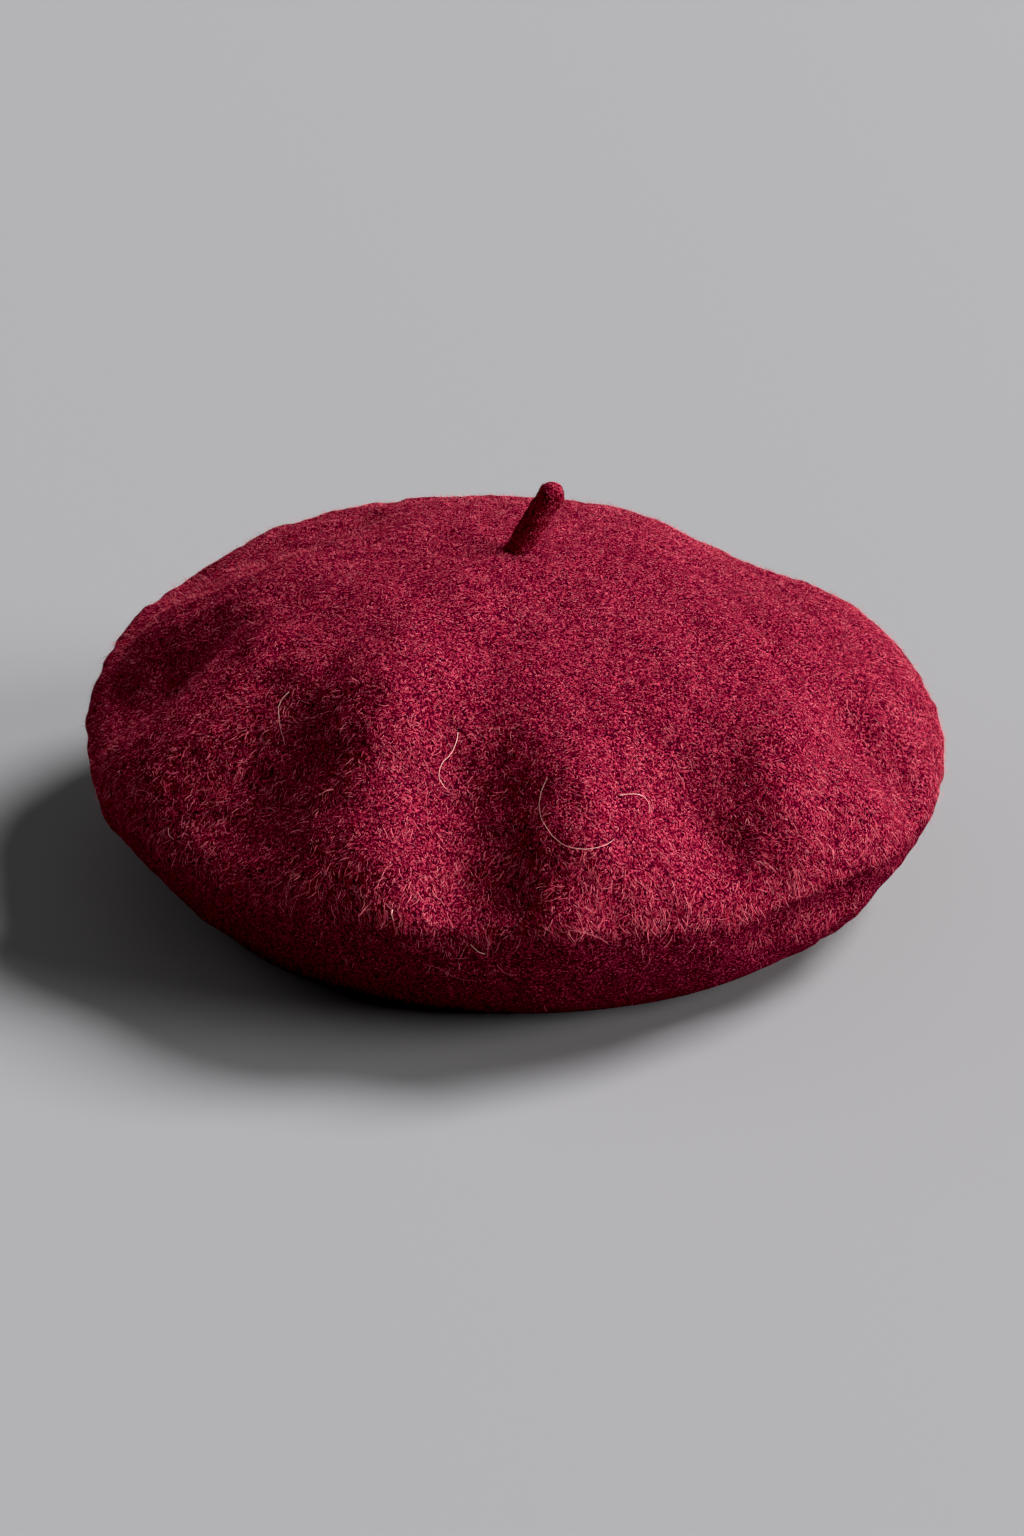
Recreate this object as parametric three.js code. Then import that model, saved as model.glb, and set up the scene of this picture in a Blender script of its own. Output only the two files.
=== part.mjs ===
// A felted wool basque beret with its stalk, resting by itself on the flattened felt round its headhole.
// Millimetres, +Z up, +X to the right, the front towards -Y.
// A place on the felt is given by its angle, in degrees round from the front towards the right,
// and its reach: 0 at the stalk, 1 at the rim, 2 where the underside meets the surface below,
// and 3 at the edge of the headhole.
import * as THREE from "three";
import { ParametricGeometry } from "three/addons/geometries/ParametricGeometry.js";

// Driving dimensions.
const FELT_THICKNESS = 2.4;
const CROWN_HEIGHT = 107;
const HEADHOLE_RADIUS = 84;

// Folds are laid out on the felt as a flat disc: its crown's radius, and the width of each ring beyond.
const PATTERN_CROWN = 140;
const PATTERN_RING = 60;

// The mesh: steps round the beret, and steps along each stretch of the profile, closest where it folds.
const STEPS_AROUND = 88;
const STRETCHES = [
  { toReach: 0.35, steps: 3 },
  { toReach: 1, steps: 13 },
  { toReach: 1.4, steps: 5 },
  { toReach: 2, steps: 4 },
  { toReach: 3, steps: 1 },
];

// The outline, one row for each direction. Fullness says how square the profile is:
// 2 is an ellipse, less makes a straighter slope and a sharper rim.
const OUTLINE = [
  { angle: 0, rimRadius: 137, rimHeight: 44, restRadius: 101, crownFullness: 1.75, undersideFullness: 1.45 },
  { angle: 45, rimRadius: 135, rimHeight: 40, restRadius: 104, crownFullness: 1.8, undersideFullness: 1.4 },
  { angle: 90, rimRadius: 137, rimHeight: 39, restRadius: 106, crownFullness: 2.0, undersideFullness: 1.4 },
  { angle: 135, rimRadius: 138, rimHeight: 39, restRadius: 106, crownFullness: 2.05, undersideFullness: 1.4 },
  { angle: 180, rimRadius: 143, rimHeight: 46, restRadius: 105, crownFullness: 2.0, undersideFullness: 1.4 },
  { angle: 225, rimRadius: 144, rimHeight: 51, restRadius: 105, crownFullness: 2.2, undersideFullness: 1.4 },
  { angle: 270, rimRadius: 142, rimHeight: 49, restRadius: 104, crownFullness: 2.2, undersideFullness: 1.35 },
  { angle: 315, rimRadius: 136, rimHeight: 46, restRadius: 103, crownFullness: 2.0, undersideFullness: 1.3 },
];

// Folds and dents. Each runs along a line on the flat felt disc between two places, given by their angles
// and reaches, fades over its width on both sides, and rises out of the felt or, below 0, sinks into it.
const FOLDS = [
  { name: "left bowl", angles: [275, 281], reaches: [0.8, 0.67], width: 26, rise: -14 },
  { name: "left crease", angles: [284, 284], reaches: [0.89, 0.49], width: 14, rise: -5.5 },
  { name: "left crest", angles: [289, 294], reaches: [0.84, 0.47], width: 12, rise: 2.5 },
  { name: "left ridge", angles: [295, 308], reaches: [0.92, 0.57], width: 9, rise: 1.5 },
  { name: "lower left dent", angles: [318, 317], reaches: [0.75, 0.85], width: 18, rise: -5 },
  { name: "front left dent", angles: [321, 322], reaches: [0.62, 0.81], width: 19, rise: -8 },
  { name: "front left ridge", angles: [334, 345], reaches: [0.45, 0.93], width: 12, rise: 5 },
  { name: "front left fold", angles: [341, 345], reaches: [0.72, 0.9], width: 12, rise: -3 },
  { name: "front dent", angles: [351, 356], reaches: [0.61, 0.85], width: 19, rise: -11.5 },
  { name: "front ridge", angles: [7, 3], reaches: [0.61, 0.92], width: 15, rise: 6 },
  { name: "front right dent", angles: [25, 31], reaches: [0.66, 0.9], width: 15, rise: -7.5 },
  { name: "right ridge", angles: [46, 32], reaches: [0.59, 0.92], width: 11, rise: 5 },
  { name: "right dent", angles: [61, 64], reaches: [0.68, 0.88], width: 10, rise: -6.5 },
  { name: "crown left swell", angles: [318, 329], reaches: [0.17, 0.49], width: 20, rise: 3 },
  { name: "back right dip", angles: [105, 133], reaches: [0.38, 0.56], width: 22, rise: -7 },
  { name: "left hollow", angles: [257, 252], reaches: [0.79, 0.43], width: 13, rise: -5 },
  { name: "back left crease", angles: [243, 230], reaches: [0.69, 0.39], width: 17, rise: -8.5 },
  { name: "under crease", angles: [34, 48], reaches: [1.28, 1.2], width: 8, rise: -4.5 },
  { name: "under ridge", angles: [28, 54], reaches: [1.52, 1.48], width: 9, rise: 1.5 },
  { name: "stalk hollow", angles: [265, 265], reaches: [0.15, 0.11], width: 11, rise: -2.5 },
];

// The stalk stands on a level seat in the middle of the crown and leans to the right.
// Its cross-sections turn from level at the foot to square with its axis over the turn length.
const STALK = { length: 24.5, radius: 4.1, lean: 30, turn: 8, gap: 0.3 };
const STALK_STEPS = { around: 16, side: 8, tip: 5 };
const SEAT_REACH = 0.035;
const SEAT_BLEND_REACH = 0.08;

// Folds fade out between these two reaches, before the flat rest.
const LAST_FOLD_REACH = 1.5;
const REST_BLEND_REACH = 1.95;

const FELT_FINISH = { color: "#7d1428", roughness: 0.95, metalness: 0 };
const felt = (name) => new THREE.MeshStandardMaterial({ name, ...FELT_FINISH });

// The value of one column of the outline at an angle, by a smooth closed curve through its rows.
function outlineAt(column, angle) {
  const step = 360 / OUTLINE.length;
  const place = THREE.MathUtils.euclideanModulo(angle, 360) / step;
  const row = Math.floor(place);
  const share = place - row;
  const value = (offset) => OUTLINE[(row + offset + OUTLINE.length) % OUTLINE.length][column];
  const [before, start, end, after] = [-1, 0, 1, 2].map(value);
  const slopeStart = (end - before) / 2;
  const slopeEnd = (after - start) / 2;
  const bend = 2 * (start - end) + slopeStart + slopeEnd;
  const curve = 3 * (end - start) - 2 * slopeStart - slopeEnd;
  return ((bend * share + curve) * share + slopeStart) * share + start;
}

// A point at an angle round the upright axis.
const round = (angle, radius, height) => {
  const turn = THREE.MathUtils.degToRad(angle);
  return new THREE.Vector3(radius * Math.sin(turn), -radius * Math.cos(turn), height);
};

// The outer surface without folds.
function smoothForm(angle, reach) {
  const rimRadius = outlineAt("rimRadius", angle);
  const rimHeight = outlineAt("rimHeight", angle);
  const restRadius = outlineAt("restRadius", angle);
  if (reach >= 2)
    return round(angle, THREE.MathUtils.lerp(restRadius, HEADHOLE_RADIUS, reach - 2), 0);
  const quarter = (Math.PI / 2) * (reach % 1);
  if (reach >= 1) {
    const power = 2 / outlineAt("undersideFullness", angle);
    const radius = restRadius + (rimRadius - restRadius) * Math.cos(quarter) ** power;
    return round(angle, radius, rimHeight * (1 - Math.sin(quarter) ** power));
  }
  const power = 2 / outlineAt("crownFullness", angle);
  const height = rimHeight + (CROWN_HEIGHT - rimHeight) * Math.cos(quarter) ** power;
  return round(angle, rimRadius * Math.sin(quarter) ** power, height);
}

// The outward direction of a surface, from two short steps along it.
function outward(surface, angle, reach) {
  const step = 0.01;
  const at = THREE.MathUtils.clamp(reach, step, 3 - step);
  const around = surface(angle + 1, at).sub(surface(angle - 1, at));
  const along = surface(angle, at + step).sub(surface(angle, at - step));
  return along.cross(around).normalize();
}

// A place on the felt laid out flat.
const onPattern = (angle, reach) =>
  round(angle, Math.min(reach, 1) * PATTERN_CROWN + Math.max(reach - 1, 0) * PATTERN_RING, 0);

const foldLines = FOLDS.map(({ angles, reaches, ...fold }) => ({
  ...fold,
  line: new THREE.Line3(onPattern(angles[0], reaches[0]), onPattern(angles[1], reaches[1])),
}));

// How far all the folds together move the felt at one place.
function foldsAt(angle, reach) {
  const place = onPattern(angle, reach);
  const nearest = new THREE.Vector3();
  return foldLines.reduce((sum, { line, width, rise }) => {
    const away = line.closestPointToPoint(place, true, nearest).distanceTo(place) / width;
    return sum + rise * Math.exp(-away * away);
  }, 0);
}

// The same, level under the stalk and fading out before the flat rest.
function foldRise(angle, reach) {
  const offSeat = THREE.MathUtils.smoothstep(reach, SEAT_REACH, SEAT_BLEND_REACH);
  const offRest = 1 - THREE.MathUtils.smoothstep(reach, LAST_FOLD_REACH, REST_BLEND_REACH);
  return THREE.MathUtils.lerp(foldsAt(0, 0), foldsAt(angle, reach), offSeat) * offRest;
}

function outerSurface(angle, reach) {
  return smoothForm(angle, reach).addScaledVector(outward(smoothForm, angle, reach), foldRise(angle, reach));
}

function innerSurface(angle, reach) {
  return outerSurface(angle, reach).addScaledVector(outward(outerSurface, angle, reach), -FELT_THICKNESS);
}

// The places along the profile, from the stalk to the headhole.
const reaches = [0, SEAT_REACH];
for (const { toReach, steps } of STRETCHES) {
  const fromReach = reaches.at(-1);
  for (let i = 1; i <= steps; i++) reaches.push(THREE.MathUtils.lerp(fromReach, toReach, i / steps));
}

// The felt as one closed surface: down the inside, across the headhole's edge and up the outside.
function shellGeometry() {
  const profile = [
    ...reaches.map((reach) => ({ surface: innerSurface, reach })),
    ...reaches.toReversed().map((reach) => ({ surface: outerSurface, reach })),
  ];
  const last = profile.length - 1;
  return new ParametricGeometry(
    (u, v, target) => {
      const { surface, reach } = profile[Math.round(v * last)];
      const angle = reach === 0 ? 0 : 360 * u;
      target.copy(surface(angle, reach));
    },
    STEPS_AROUND,
    last,
  );
}

// A straight leaning peg with a flat level foot and a round tip.
function stalkGeometry() {
  const { length, radius, lean, turn } = STALK;
  const leanAngle = THREE.MathUtils.degToRad(lean);
  const shoulder = length - radius;
  const outline = [new THREE.Vector2(0, 0)];
  for (let i = 0; i <= STALK_STEPS.side; i++) {
    outline.push(new THREE.Vector2(radius, (shoulder * i) / STALK_STEPS.side));
  }
  for (let i = 1; i <= STALK_STEPS.tip; i++) {
    const climb = ((Math.PI / 2) * i) / STALK_STEPS.tip;
    outline.push(new THREE.Vector2(radius * Math.cos(climb), shoulder + radius * Math.sin(climb)));
  }
  const last = outline.length - 1;
  return new ParametricGeometry(
    (u, v, target) => {
      const { x: out, y: along } = outline[Math.round(v * last)];
      const tilt = leanAngle * THREE.MathUtils.smoothstep(along, 0, turn);
      const sideways = out * Math.cos(2 * Math.PI * u);
      target.x = along * Math.sin(leanAngle) + sideways * Math.cos(tilt);
      target.y = out * Math.sin(2 * Math.PI * u);
      target.z = along * Math.cos(leanAngle) - sideways * Math.sin(tilt);
    },
    STALK_STEPS.around,
    last,
  );
}

const shell = new THREE.Mesh(shellGeometry(), felt("shell felt"));
shell.name = "shell";

const stalk = new THREE.Mesh(stalkGeometry(), felt("stalk felt"));
stalk.name = "stalk";
stalk.position.copy(outerSurface(0, 0));
stalk.position.z += STALK.gap;

const beret = new THREE.Group();
beret.add(shell, stalk);

// The origin is the middle of the whole beret's box, on the surface that it rests on.
const middle = new THREE.Box3().setFromObject(beret).getCenter(new THREE.Vector3());
beret.position.set(-middle.x, -middle.y, 0);

export default beret;
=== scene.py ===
"""The looks of a felted wool basque beret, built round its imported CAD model.

Metres, +Z up, +X to the right, the front towards -Y. The shell and the stalk are smooth copies of their
CAD nodes with a felted relief, and the wool's nap is made of short ribbons that grow out of them.
"""
import math

import bmesh
import bpy
import numpy as np
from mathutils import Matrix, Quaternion, Vector
from mathutils.bvhtree import BVHTree


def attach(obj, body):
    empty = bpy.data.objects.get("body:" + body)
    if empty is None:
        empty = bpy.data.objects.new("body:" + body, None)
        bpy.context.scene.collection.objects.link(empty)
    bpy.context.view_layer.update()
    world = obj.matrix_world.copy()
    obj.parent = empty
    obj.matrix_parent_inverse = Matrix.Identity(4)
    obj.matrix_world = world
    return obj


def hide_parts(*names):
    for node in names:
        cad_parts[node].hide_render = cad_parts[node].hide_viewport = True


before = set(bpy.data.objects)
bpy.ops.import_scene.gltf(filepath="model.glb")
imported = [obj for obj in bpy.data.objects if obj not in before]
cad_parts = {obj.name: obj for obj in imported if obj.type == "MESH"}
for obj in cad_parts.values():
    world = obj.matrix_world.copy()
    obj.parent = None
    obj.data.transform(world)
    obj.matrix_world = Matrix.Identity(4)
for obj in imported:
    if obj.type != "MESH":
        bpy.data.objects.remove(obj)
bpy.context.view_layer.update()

MM = 0.001
UP = np.array([0.0, 0.0, 1.0])

# The camera looks down at the front.
CAMERA_AIM = Vector((-0.5 * MM, -3 * MM, 32 * MM))
CAMERA_DISTANCE = 0.85
CAMERA_ELEVATION = math.radians(25)
CAMERA_FIELD = math.radians(32.8)

# Down and towards the front, as the camera looks at the front of the felt.
DOWN_THE_FRONT = Vector((0, -0.4, -0.9))

# The middle of the head hollow: felt that faces away from it is the outside.
HOLLOW_MIDDLE = np.array([0.0, 0.0, 45 * MM])

# How far from flat and square two triangles may be, in radians, and still be joined into one quad.
QUAD_TOLERANCE = 1.2

# Rounds of moving a body's vertices until its smooth surface passes through the CAD's own.
FIT_ROUNDS = 4

# How far above z = 0 the felt's flattened rest fades into its relief.
REST_BLEND = 12 * MM

# The felted relief of each body: random waves, with lengths and heights in mm.
SHELL_RELIEF = [
    {"length": 26, "height": 0.28},
    {"length": 12, "height": 0.24},
    {"length": 6, "height": 0.14},
]
STALK_RELIEF = [
    {"length": 7, "height": 0.12},
    {"length": 3, "height": 0.10},
]

# The felt's matted strands and its small pills: how many a metre, and how deep they look.
CURLS = {"scale": 1600, "detail": 2, "distortion": 0.8, "depth": 0.25 * MM}
PILLS = {"scale": 420, "detail": 3, "distortion": 0.0, "depth": 0.6 * MM}
BUMP_STRENGTH = 0.6

# The felt's colour by how far a strand stands out of the gaps: the crimson strands are the wool's own
# colour, the near-black gaps are painted shade between them.
FELT_RAMP = [
    (0.42, (0.014, 0.0000, 0.004)),
    (0.54, (0.090, 0.0008, 0.011)),
    (0.66, (0.370, 0.0340, 0.062)),
]

# The wool's shades: partly its own tone, which differs at random, and partly light, the deep and dark ones
# painted shade of shadowed fibres and the rose and pale ones painted highlight and sheen of sunlit tips.
SHADES = {
    "deep": (0.040, 0.0001, 0.002),
    "dark": (0.140, 0.0010, 0.009),
    "red": (0.280, 0.0120, 0.031),
    "rose": (0.430, 0.0470, 0.078),
    "pale": (0.610, 0.1300, 0.158),
    "bleached": (0.860, 0.420, 0.380),
}

# Layers of fibres, with lengths and widths in mm and angles in radians. Each row gives how many fibres are
# scattered, where they grow, their lengths, widths and lifts from the felt as ranges, how much they curl
# sideways, the segments of each ribbon, and the shades that share them.
LAYERS = [
    # The underfur under the nap takes only the darker shades: painted shade under the nap.
    {"name": "underfur", "body": "shell", "where": "all_over", "count": 250_000, "length": (0.35, 0.8),
     "width": (0.12, 0.22), "lift": (0.0, 0.3), "curl": 0.3, "segments": 1,
     "shades": ["deep", "dark", "red"]},
    {"name": "nap", "body": "shell", "where": "all_over", "count": 210_000, "length": (0.45, 1.15),
     "width": (0.10, 0.19), "lift": (0.05, 0.4), "curl": 0.5, "segments": 2,
     "shades": ["dark", "red", "rose", "pale"]},
    {"name": "rim_strands", "body": "shell", "where": "rim", "count": 7_000, "length": (1.6, 4.0),
     "width": (0.10, 0.16), "lift": (0.15, 0.7), "curl": 0.35, "segments": 3,
     "shades": ["red", "rose", "pale"]},
    {"name": "guard_hairs", "body": "shell", "where": "all_over", "count": 30_000, "length": (1.0, 3.0),
     "width": (0.05, 0.08), "lift": (0.3, 1.3), "curl": 0.5, "segments": 2,
     "shades": ["red", "rose", "pale"]},
    {"name": "stalk_nap", "body": "stalk", "where": "everywhere", "count": 6_000, "length": (0.4, 0.9),
     "width": (0.14, 0.24), "lift": (0.1, 0.7), "curl": 0.3, "segments": 2,
     "shades": ["dark", "red", "rose"]},
]

# All the fibres come from one seeded run of random numbers.
FIBRE_SEED = 7

# Of the scattered fibres, the share that is kept, how much that varies, and the size of the tufts it makes.
TUFTS = {"kept": 0.75, "variation": 0.22, "size": 3.2 * MM}

# Fibres near the rim are longer, by so many times at the second of these distances from the middle.
STRETCH_FROM = 100 * MM
STRETCH_TO = 138 * MM
RIM_STRETCH = 1.2

# Fibres lie downhill, turned to either side by about so many radians near the middle and near the rim.
SPREAD_FROM = 50 * MM
SPREAD_TO = 125 * MM
SPREADS = [1.5, 0.55]

# The shares of its width that a short fibre and a stray hair lose towards their tips.
FIBRE_TAPER = 0.4
STRAY_HAIR_TAPER = 0.5

# Long stray hairs at the front, with lengths and widths in mm and angles in degrees. Each starts at a place
# on the felt given by its angle round from the front and its elevation from the hollow's middle. It sets off
# on a heading turned to the right from downwards, and bends by so much over its first and its second half.
# The rows named glint are short, wide strokes of the bleached shade that stand for glints of light: painted
# highlights.
STRAY_HAIRS = [
    {"name": "crown curl", "angle": -10, "elevation": 23, "heading": 0, "bends": (-50, 110), "length": 21,
     "width": 0.17, "shade": "bleached"},
    {"name": "big loop", "angle": 5, "elevation": 17, "heading": -15, "bends": (65, 90), "length": 40,
     "width": 0.17, "shade": "bleached"},
    {"name": "hook", "angle": 15, "elevation": 14, "heading": 105, "bends": (-15, -90), "length": 12,
     "width": 0.16, "shade": "bleached"},
    {"name": "left bow", "angle": -43, "elevation": 24, "heading": -50, "bends": (65, 0), "length": 18,
     "width": 0.18, "shade": "bleached"},
    {"name": "left line", "angle": -47, "elevation": 24, "heading": -5, "bends": (5, 0), "length": 8,
     "width": 0.14, "shade": "pale"},
    {"name": "left slant", "angle": -32, "elevation": 21, "heading": 35, "bends": (10, 5), "length": 7,
     "width": 0.16, "shade": "pale"},
    {"name": "left loop", "angle": -56, "elevation": 4, "heading": 180, "bends": (-95, -50), "length": 14,
     "width": 0.20, "shade": "pale"},
    {"name": "left glint", "angle": -49, "elevation": 3, "heading": 30, "bends": (0, 10), "length": 4,
     "width": 0.30, "shade": "bleached"},
    {"name": "rim glint", "angle": -5, "elevation": -2, "heading": 65, "bends": (-10, -10), "length": 5,
     "width": 0.34, "shade": "bleached"},
    {"name": "rim hook", "angle": -7, "elevation": -4, "heading": 130, "bends": (-20, -20), "length": 4,
     "width": 0.22, "shade": "pale"},
    {"name": "rim wave", "angle": -11, "elevation": -6, "heading": 125, "bends": (-65, 30), "length": 17,
     "width": 0.16, "shade": "pale"},
    {"name": "rim bow", "angle": -2, "elevation": -5, "heading": 25, "bends": (25, 25), "length": 7,
     "width": 0.16, "shade": "pale"},
    {"name": "front glint", "angle": -14, "elevation": 2, "heading": 0, "bends": (10, 10), "length": 3,
     "width": 0.34, "shade": "bleached"},
    {"name": "right strand", "angle": 6, "elevation": 1, "heading": 85, "bends": (-20, -20), "length": 14,
     "width": 0.20, "shade": "pale"},
]
STRAY_HAIR_SEGMENTS = 24

# A stray hair's height above the felt at its ends, and how much higher it is in its middle.
STRAY_HAIR_CLEARANCE = 0.5 * MM
STRAY_HAIR_ARCH = 1.0 * MM

# The studio's lights. Direction is from the beret towards the light, spread is the angle that the light
# takes up in the sky, in degrees, and power is in watts a square metre.
LIGHTS = [
    {"name": "key", "direction": (0.66, 0.22, 0.72), "spread": 26, "power": 7.0},
    {"name": "side", "direction": (0.90, -0.24, 0.38), "spread": 30, "power": 3.6},
    {"name": "left", "direction": (-0.88, 0.30, 0.42), "spread": 45, "power": 0.42},
    {"name": "overhead", "direction": (-0.15, 0.10, 1.0), "spread": 65, "power": 0.3},
]

# The floor lies a little below the felt and reaches to the horizon.
FLOOR_COLOR = (0.190, 0.187, 0.193)
FLOOR_SIZE = 100
FLOOR_GAP = 0.2 * MM

# The backdrop as the camera sees it, and the faint light that it gives.
BACKDROP_COLOR = (0.55, 0.55, 0.56)
BACKDROP_LIGHT = (0.95, 0.97, 1.0)
BACKDROP_LIGHT_STRENGTH = 0.012

# What the picture shows as black.
BLACK_LEVEL = 0.003


def unit(vectors):
    """Each row scaled to length 1."""
    return vectors / np.linalg.norm(vectors, axis=1, keepdims=True)


def wobble(points, wavelength, seed, waves=24):
    """A smooth random value at each point, mostly between -2 and 2, that varies over about a wavelength."""
    rng = np.random.default_rng(seed)
    pitch = wavelength * rng.uniform(0.7, 1.5, (waves, 1))
    directions = unit(rng.normal(size=(waves, 3))) * 2 * math.pi / pitch
    phases = rng.uniform(0, 2 * math.pi, waves)
    return np.cos(points @ directions.T + phases).sum(axis=1) / math.sqrt(waves / 2)


# ---------------------------------------------------------------- materials


def new_material(name, color, roughness):
    """A material with its Principled shader, whose plain values are set here."""
    material = bpy.data.materials.new(name)
    material.use_nodes = True
    shader = material.node_tree.nodes["Principled BSDF"]
    shader.inputs["Base Color"].default_value = (*color, 1.0)
    shader.inputs["Roughness"].default_value = roughness
    return material, shader


def noise_node(tree, noise):
    """A noise texture in the object's own coordinates."""
    coordinates = tree.nodes.new("ShaderNodeTexCoord")
    node = tree.nodes.new("ShaderNodeTexNoise")
    node.inputs["Scale"].default_value = noise["scale"]
    node.inputs["Detail"].default_value = noise["detail"]
    node.inputs["Distortion"].default_value = noise["distortion"]
    tree.links.new(coordinates.outputs["Object"], node.inputs["Vector"])
    return node


def add_bump(tree, shader, height, depth):
    """Roughens the shader's normal by a height, on top of what is linked there already."""
    bump = tree.nodes.new("ShaderNodeBump")
    bump.inputs["Strength"].default_value = BUMP_STRENGTH
    bump.inputs["Distance"].default_value = depth
    tree.links.new(height, bump.inputs["Height"])
    for under in shader.inputs["Normal"].links:
        tree.links.new(under.from_socket, bump.inputs["Normal"])
    tree.links.new(bump.outputs["Normal"], shader.inputs["Normal"])


def felt_material():
    """The matted wool under the nap: curling strands of crimson over gaps darkened with painted shade."""
    material, shader = new_material("felt", SHADES["dark"], 0.9)
    tree = material.node_tree
    shader.inputs["Specular IOR Level"].default_value = 0.0

    curls = noise_node(tree, CURLS)
    # The low parts of the noise, the gaps between strands, are coloured near-black: painted shade.
    ramp = tree.nodes.new("ShaderNodeValToRGB")
    for position, color in FELT_RAMP:
        stop = ramp.color_ramp.elements.new(position)
        stop.color = (*color, 1.0)
    ramp.color_ramp.elements.remove(ramp.color_ramp.elements[0])
    ramp.color_ramp.elements.remove(ramp.color_ramp.elements[-1])
    tree.links.new(curls.outputs["Fac"], ramp.inputs["Fac"])
    tree.links.new(ramp.outputs["Color"], shader.inputs["Base Color"])

    pills = noise_node(tree, PILLS)
    add_bump(tree, shader, pills.outputs["Fac"], PILLS["depth"])
    add_bump(tree, shader, curls.outputs["Fac"], CURLS["depth"])
    return material


def fibre_material(shade):
    """Plain wool fibre of one shade, made once."""
    name = "fibre_" + shade
    if name in bpy.data.materials:
        return bpy.data.materials[name]
    material, shader = new_material(name, SHADES[shade], 0.7)
    shader.inputs["Specular IOR Level"].default_value = 0.0
    return material


# ---------------------------------------------------------------- felt bodies


def link(name, mesh, material):
    """A new object for a mesh, with one material."""
    piece = bpy.data.objects.new(name, mesh)
    bpy.context.scene.collection.objects.link(piece)
    mesh.materials.clear()
    mesh.materials.append(material)
    return piece


def quad_copy(node):
    """The CAD node's mesh with its vertices merged and its triangles joined into quads."""
    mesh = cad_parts[node].data.copy()
    shape = bmesh.new()
    shape.from_mesh(mesh)
    bmesh.ops.remove_doubles(shape, verts=shape.verts, dist=0.001 * MM)
    limits = {"angle_face_threshold": QUAD_TOLERANCE, "angle_shape_threshold": QUAD_TOLERANCE}
    bmesh.ops.join_triangles(shape, faces=shape.faces, **limits)
    shape.to_mesh(mesh)
    shape.free()
    return mesh


def positions(mesh):
    """The mesh's vertices as rows."""
    values = np.empty(len(mesh.vertices) * 3)
    mesh.vertices.foreach_get("co", values)
    return values.reshape(-1, 3)


def normals(mesh):
    """The mesh's vertex normals as rows."""
    values = np.empty(len(mesh.vertices) * 3)
    mesh.vertex_normals.foreach_get("vector", values)
    return values.reshape(-1, 3)


def move(mesh, points):
    """Puts the mesh's vertices at these points."""
    mesh.vertices.foreach_set("co", points.ravel())
    mesh.update()


def evaluated(piece):
    """A new mesh of the piece with its modifiers applied."""
    graph = bpy.context.evaluated_depsgraph_get()
    return bpy.data.meshes.new_from_object(piece.evaluated_get(graph), depsgraph=graph)


def smooth_body(node, name, material, levels):
    """A subdivided copy of a CAD node whose surface passes through the node's own vertices."""
    piece = link(name, quad_copy(node), material)
    goal = positions(piece.data)
    smoothing = piece.modifiers.new("smooth", "SUBSURF")
    smoothing.levels = 1
    for _ in range(FIT_ROUNDS):
        surface = evaluated(piece)
        reached = positions(surface)[: len(goal)]
        bpy.data.meshes.remove(surface)
        move(piece.data, positions(piece.data) + goal - reached)
    smoothing.levels = levels
    surface = evaluated(piece)
    piece.modifiers.clear()
    piece.data = surface
    surface.name = name
    surface.polygons.foreach_set("use_smooth", np.ones(len(surface.polygons), bool))
    return piece


def add_relief(piece, waves):
    """Moves the surface in and out by random waves, less near its rest, and keeps it above z = 0."""
    points = positions(piece.data)
    rise = np.zeros(len(points))
    for seed, wave in enumerate(waves):
        rise += wave["height"] * MM * wobble(points, wave["length"] * MM, seed)
    rise *= np.clip(points[:, 2] / REST_BLEND, 0, 1)
    points += normals(piece.data) * rise[:, None]
    points[:, 2] = np.maximum(points[:, 2], 0)
    move(piece.data, points)


# ---------------------------------------------------------------- wool fibres


class Surface:
    """A felt body's triangles to grow fibres on: all of them, or the ones that face away from a middle."""

    def __init__(self, mesh, middle=None):
        mesh.calc_loop_triangles()
        corners = np.empty(len(mesh.loop_triangles) * 3, np.int32)
        mesh.loop_triangles.foreach_get("vertices", corners)
        corners = corners.reshape(-1, 3)
        self.points, self.normals = positions(mesh)[corners], normals(mesh)[corners]
        facing = np.cross(self.points[:, 1] - self.points[:, 0], self.points[:, 2] - self.points[:, 0])
        if middle is not None:
            outside = ((self.points.mean(axis=1) - middle) * facing).sum(axis=1) > 0
            self.points, self.normals, facing = self.points[outside], self.normals[outside], facing[outside]
        self.areas = np.linalg.norm(facing, axis=1) / 2
        self.centres = self.points.mean(axis=1)
        self.facing = unit(facing)

    def scatter(self, count, where, rng):
        """Random roots and the normals there, as dense as where(centres, facing) says."""
        weights = self.areas * where(self.centres, self.facing)
        picked = rng.choice(len(weights), count, p=weights / weights.sum())
        shares = rng.dirichlet((1, 1, 1), count)[:, :, None]
        roots = (self.points[picked] * shares).sum(axis=1)
        return roots, unit((self.normals[picked] * shares).sum(axis=1))


def bell(values, middle, width):
    """1 at the middle, falling off smoothly on both sides."""
    return np.exp(-(((values - middle) / width) ** 2))


def everywhere(centres, facing):
    """Even nap."""
    return np.ones(len(centres))


def all_over(centres, facing):
    """Even nap on the crown, less on the underside and none where the felt rests. Where the nap is sparse
    the darker felt shows, so the underside is darker: partly a real thinner nap, partly painted shade.
    """
    underside = np.clip((facing[:, 2] + 0.35) / 0.4, 0.06, 1)
    resting = np.clip(centres[:, 2] / (4 * MM), 0, 1)
    return underside * resting


def rim(centres, facing):
    """Long strands along the rim's turn, most of them at the front and the front left."""
    turn = bell(facing[:, 2], middle=0.25, width=0.35)
    angle_from_front = np.degrees(np.arctan2(centres[:, 0], -centres[:, 1]))
    return turn * (0.3 + bell(angle_from_front, middle=-18, width=38))


WHERE = {"everywhere": everywhere, "all_over": all_over, "rim": rim}


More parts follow.
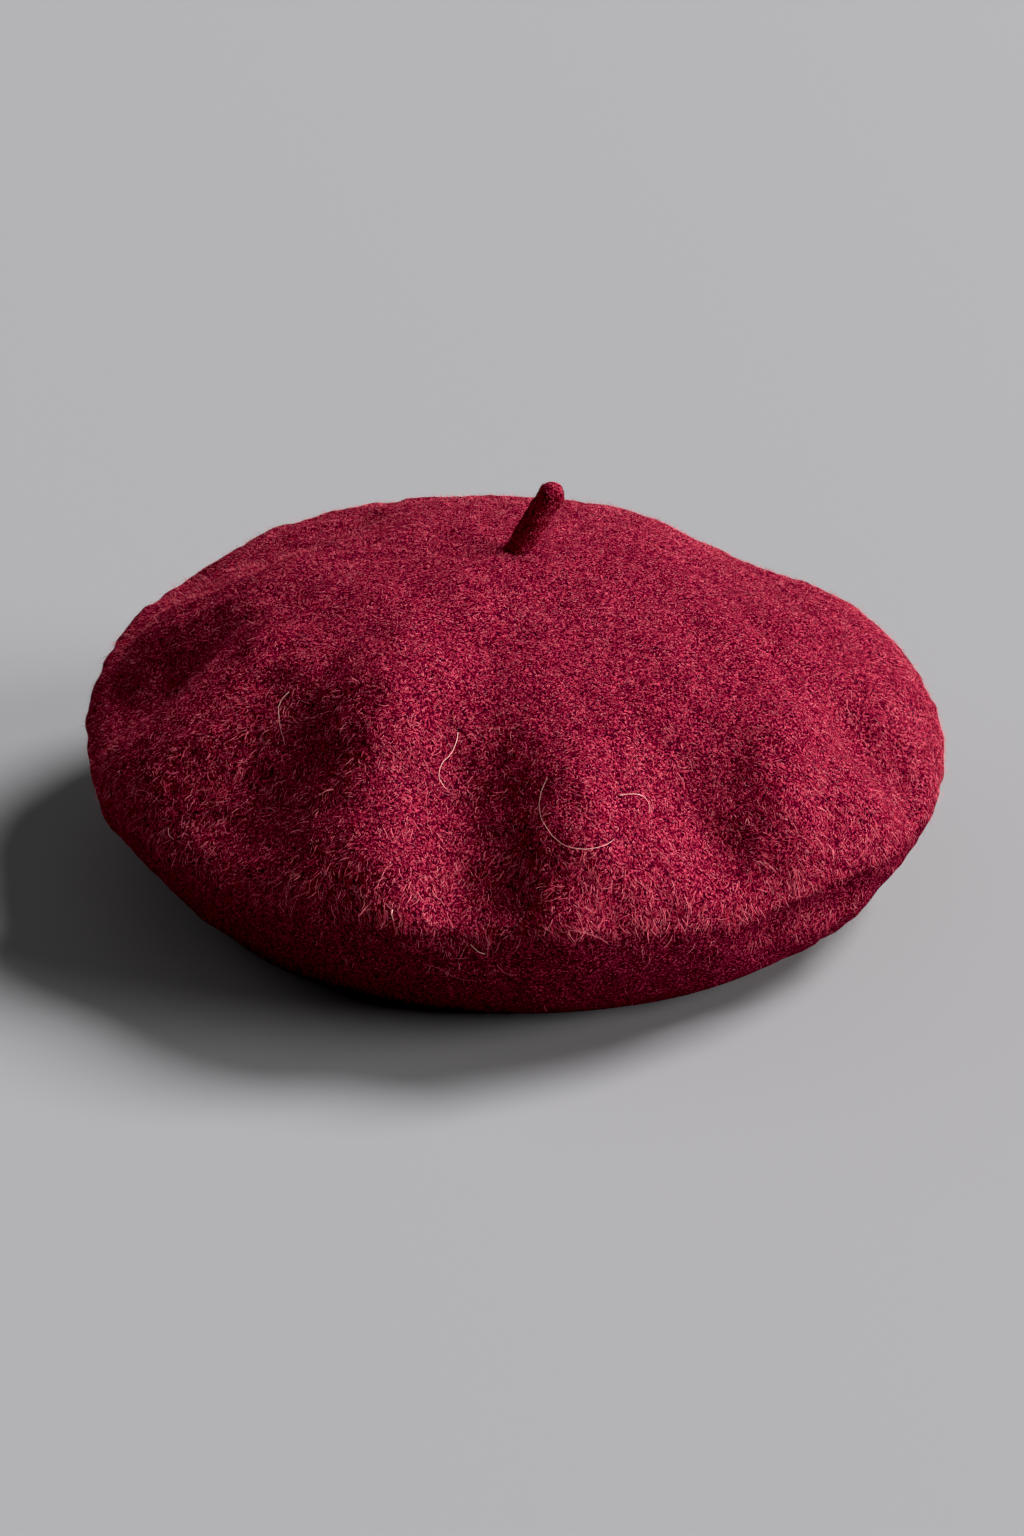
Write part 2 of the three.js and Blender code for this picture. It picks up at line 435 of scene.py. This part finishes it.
def ribbons(roots, upright, headings, lengths, widths, lift, droop, curl, twist, segments):
    """Points of tapering ribbons, one row of points for each fibre.

    Each leaves its root along its heading at the lift angle, droops back towards the felt,
    curls sideways, and is twisted about its length. It ends in a point.
    """
    along = unit(headings - (headings * upright).sum(axis=1, keepdims=True) * upright)
    side = np.cross(upright, along)
    flat = side * np.cos(twist)[:, None] + upright * np.sin(twist)[:, None]
    rows = []
    for step in range(segments + 1):
        share = step / segments
        forward = along * (lengths * np.cos(lift) * share)[:, None]
        above = upright * (lengths * (np.sin(lift) * share - droop * share * share))[:, None]
        sideways = side * (lengths * curl * share * share)[:, None]
        middle = roots + forward + above + sideways
        half = flat * (widths / 2 * (1 - FIBRE_TAPER * share))[:, None]
        rows += [middle] if step == segments else [middle - half, middle + half]
    return np.stack(rows, axis=1)


def ribbon_mesh(name, points):
    """A mesh of ribbons whose rows of points come from ribbons()."""
    count, per_fibre = points.shape[:2]
    quads = (per_fibre - 3) // 2
    corners = []
    for step in range(quads):
        start = 2 * step
        corners += [start, start + 1, start + 3, start + 2]
    corners += [2 * quads, 2 * quads + 1, 2 * quads + 2]
    loops = (np.arange(count)[:, None] * per_fibre + np.array(corners)).ravel()
    sizes = np.tile([4] * quads + [3], count)
    mesh = bpy.data.meshes.new(name)
    mesh.vertices.add(count * per_fibre)
    mesh.vertices.foreach_set("co", points.ravel())
    mesh.loops.add(len(loops))
    mesh.loops.foreach_set("vertex_index", loops)
    mesh.polygons.add(len(sizes))
    mesh.polygons.foreach_set("loop_start", np.concatenate([[0], np.cumsum(sizes)[:-1]]))
    mesh.update(calc_edges=True)
    mesh.validate()
    return mesh


def downhill_headings(roots, upright, rng):
    """Headings from the crown's middle over the rim, turned at random, and most so near the middle."""
    downhill = np.cross(np.cross(UP, roots), upright)
    radius = np.hypot(roots[:, 0], roots[:, 1])
    spread = np.interp(radius, [SPREAD_FROM, SPREAD_TO], SPREADS)
    flow = 0.7 * wobble(roots, 16 * MM, seed=31) + 0.5 * wobble(roots, 5 * MM, seed=37)
    angle = spread * (flow + 0.6 * rng.normal(size=len(roots)))
    across = np.cross(upright, downhill)
    return downhill * np.cos(angle)[:, None] + across * np.sin(angle)[:, None]


def grow(layer, surface, rng):
    """Grows a layer of fibres in matted tufts on a surface, split by shade into pieces."""
    roots, upright = surface.scatter(layer["count"], WHERE[layer["where"]], rng)
    tufts = TUFTS["kept"] + TUFTS["variation"] * wobble(roots, TUFTS["size"], seed=53)
    kept = rng.uniform(size=len(roots)) < tufts
    roots, upright = roots[kept], upright[kept]
    count = len(roots)
    radius = np.hypot(roots[:, 0], roots[:, 1])
    stretch = np.interp(radius, [STRETCH_FROM, STRETCH_TO], [1.0, RIM_STRETCH])
    points = ribbons(
        roots,
        upright,
        downhill_headings(roots, upright, rng),
        rng.uniform(*layer["length"], count) * stretch * MM,
        rng.uniform(*layer["width"], count) * MM,
        lift=rng.uniform(*layer["lift"], count),
        droop=rng.uniform(0.05, 0.35, count),
        curl=rng.normal(0, layer["curl"], count),
        twist=rng.normal(0, 0.25, count),
        segments=layer["segments"],
    )
    points[..., 2] = np.maximum(points[..., 2], 0)
    # Fibres take the shades, painted shade and painted highlight among them, at random in small patches.
    patches = 0.25 * wobble(roots, 2.4 * MM, seed=59)
    paleness = rng.normal(size=count) + patches + 0.1 * wobble(roots, 9 * MM, seed=61)
    points = points[np.argsort(paleness)]
    for shade, share in zip(layer["shades"], np.array_split(points, len(layer["shades"]))):
        name = layer["name"] + "_" + shade
        add_piece(link(name, ribbon_mesh(name, share), fibre_material(shade)))


def stray_hair(felt_tree, hair):
    """A ribbon's points laid over the felt, in the order that ribbon_mesh takes."""
    segments = STRAY_HAIR_SEGMENTS
    angle, elevation, heading = (math.radians(hair[key]) for key in ("angle", "elevation", "heading"))
    level = math.cos(elevation)
    outward = Vector((math.sin(angle) * level, -math.cos(angle) * level, math.sin(elevation)))
    far_out = Vector(HOLLOW_MIDDLE) + outward * (300 * MM)
    place, normal, _, _ = felt_tree.ray_cast(far_out, -outward)
    direction = DOWN_THE_FRONT * math.cos(heading) + Vector((math.sin(heading), 0, 0))
    points = []
    for step in range(segments):
        direction = (direction - normal * direction.dot(normal)).normalized()
        taper = 1 - STRAY_HAIR_TAPER * step / segments
        half = normal.cross(direction) * (hair["width"] / 2 * taper * MM)
        arch = STRAY_HAIR_ARCH * math.sin(math.pi * step / segments)
        middle = place + normal * (STRAY_HAIR_CLEARANCE + arch)
        points += [middle - half, middle + half]
        bend = math.radians(hair["bends"][2 * step // segments]) * 2 / segments
        direction.rotate(Quaternion(normal, bend))
        place, normal, _, _ = felt_tree.find_nearest(place + direction * (hair["length"] / segments * MM))
    return points + [place + normal * STRAY_HAIR_CLEARANCE]


def add_stray_hairs(mesh):
    """Lays the long stray hairs on a felt mesh, one piece for each shade."""
    felt_tree = BVHTree.FromPolygons([v.co for v in mesh.vertices], [p.vertices for p in mesh.polygons])
    for shade in ("pale", "bleached"):
        points = [stray_hair(felt_tree, hair) for hair in STRAY_HAIRS if hair["shade"] == shade]
        name = "stray_hairs_" + shade
        add_piece(link(name, ribbon_mesh(name, np.array(points)), fibre_material(shade)))


def add_piece(piece, node=None):
    """Puts a piece on the beret's one body, and in a CAD node's place if one is named."""
    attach(piece, "root")
    if node:
        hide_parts(node)


# ---------------------------------------------------------------- stage


def add_light(row):
    """A soft light that is as strong all over the floor."""
    lamp = bpy.data.lights.new(row["name"], "SUN")
    lamp.angle = math.radians(row["spread"])
    lamp.energy = row["power"]
    light = bpy.data.objects.new(row["name"], lamp)
    light.location = Vector(row["direction"]).normalized()
    light.rotation_euler = (-light.location).to_track_quat("-Z", "Y").to_euler()
    bpy.context.scene.collection.objects.link(light)


def add_floor():
    """A plain pale grey floor just under the felt."""
    bpy.ops.mesh.primitive_plane_add(size=FLOOR_SIZE, location=(0, 0, -FLOOR_GAP))
    floor = bpy.context.object
    floor.name = "floor"
    material, _ = new_material("floor", FLOOR_COLOR, 0.85)
    floor.data.materials.append(material)


def add_world():
    """A pale even backdrop that hardly lights the beret."""
    world = bpy.data.worlds.new("studio")
    world.use_nodes = True
    tree = world.node_tree
    seen = tree.nodes["Background"]
    seen.inputs["Color"].default_value = (*BACKDROP_COLOR, 1)
    dim = tree.nodes.new("ShaderNodeBackground")
    dim.inputs["Color"].default_value = (*BACKDROP_LIGHT, 1)
    dim.inputs["Strength"].default_value = BACKDROP_LIGHT_STRENGTH
    path = tree.nodes.new("ShaderNodeLightPath")
    mix = tree.nodes.new("ShaderNodeMixShader")
    tree.links.new(path.outputs["Is Camera Ray"], mix.inputs[0])
    tree.links.new(dim.outputs[0], mix.inputs[1])
    tree.links.new(seen.outputs[0], mix.inputs[2])
    tree.links.new(mix.outputs[0], tree.nodes["World Output"].inputs["Surface"])
    bpy.context.scene.world = world


def add_camera():
    """The camera, level from side to side."""
    lens = bpy.data.cameras.new("camera")
    lens.sensor_fit = "VERTICAL"
    lens.angle = CAMERA_FIELD
    camera = bpy.data.objects.new("camera", lens)
    towards = Vector((0, -math.cos(CAMERA_ELEVATION), math.sin(CAMERA_ELEVATION)))
    camera.location = CAMERA_AIM + towards * CAMERA_DISTANCE
    camera.rotation_euler = (-towards).to_track_quat("-Z", "Y").to_euler()
    bpy.context.scene.collection.objects.link(camera)
    bpy.context.scene.camera = camera


def set_view():
    """Colours as they are, with the darkest shadows taken down to black."""
    view = bpy.context.scene.view_settings
    view.view_transform = "Standard"
    view.use_curve_mapping = True
    view.curve_mapping.black_level = (BLACK_LEVEL,) * 3
    view.curve_mapping.update()


# ---------------------------------------------------------------- the beret

add_camera()
felt = felt_material()
shell = smooth_body("shell", "felt_shell", felt, levels=2)
add_relief(shell, SHELL_RELIEF)
add_piece(shell, "shell")

stalk = smooth_body("stalk", "felt_stalk", felt, levels=2)
add_relief(stalk, STALK_RELIEF)
add_piece(stalk, "stalk")

bodies = {
    "shell": (Surface(shell.data, HOLLOW_MIDDLE), "shell_felt"),
    "stalk": (Surface(stalk.data), "stalk_felt"),
}
rng = np.random.default_rng(FIBRE_SEED)
for layer in LAYERS:
    surface, slot = bodies[layer["body"]]
    grow(layer, surface, rng)
add_stray_hairs(shell.data)

add_floor()
add_world()
for light in LIGHTS:
    add_light(light)
set_view()
